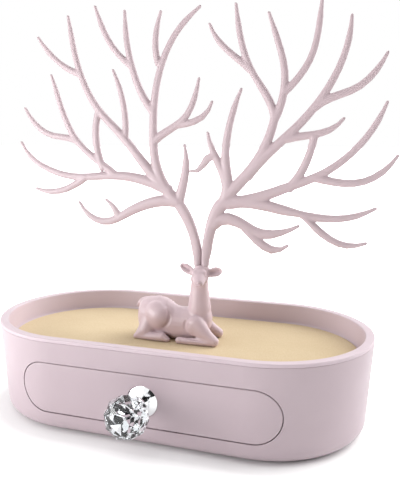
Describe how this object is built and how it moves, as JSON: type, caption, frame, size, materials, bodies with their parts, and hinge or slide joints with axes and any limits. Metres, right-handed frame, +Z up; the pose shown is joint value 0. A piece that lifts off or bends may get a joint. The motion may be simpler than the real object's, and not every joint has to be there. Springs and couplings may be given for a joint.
{
  "type": "jewelry stand with drawer",
  "caption": "Jewelry stand: stadium-shaped felt-lined tray over a drawer with a crystal knob, and a lying deer whose branched antlers carry jewelry.",
  "frame": {"origin": "on the surface the stand rests on, under the middle of the overall box, antlers and knob included", "axes": "+Z up, the drawer opens towards -Y, the tray is long along X and the deer's head is at its +X end"},
  "size_m": [0.2576, 0.1588, 0.263],
  "materials": {
    "pink_plastic": "satin",
    "felt_beige": "matte",
    "knob_chrome": "polished",
    "crystal_glass": "polished",
    "rubber_grey": "matte",
    "runner_plastic": "satin",
    "screw_steel": "plain"
  },
  "bodies": {
    "stand": {"base_shell": "pink_plastic", "rubber_feet": "rubber_grey", "tray_insert": "pink_plastic", "tray_pad": "felt_beige", "tray_screws": "screw_steel", "runner_left": "runner_plastic", "runner_right": "runner_plastic", "runner_screws": "screw_steel", "deer": "pink_plastic", "deer_screws": "screw_steel", "antler_left": "pink_plastic", "antler_right": "pink_plastic"},
    "drawer": {"drawer_box": "pink_plastic", "drawer_front": "pink_plastic", "drawer_lining": "felt_beige", "front_screws": "screw_steel", "knob_rosette": "knob_chrome", "knob_stem": "knob_chrome", "knob_crystal": "crystal_glass", "knob_washer": "screw_steel", "knob_screw": "screw_steel"}
  },
  "joints": [
    {"name": "drawer_slide", "type": "slide", "parent": "stand", "child": "drawer", "axis": [0, -1, 0], "range_m": [0, 0.08]}
  ]
}
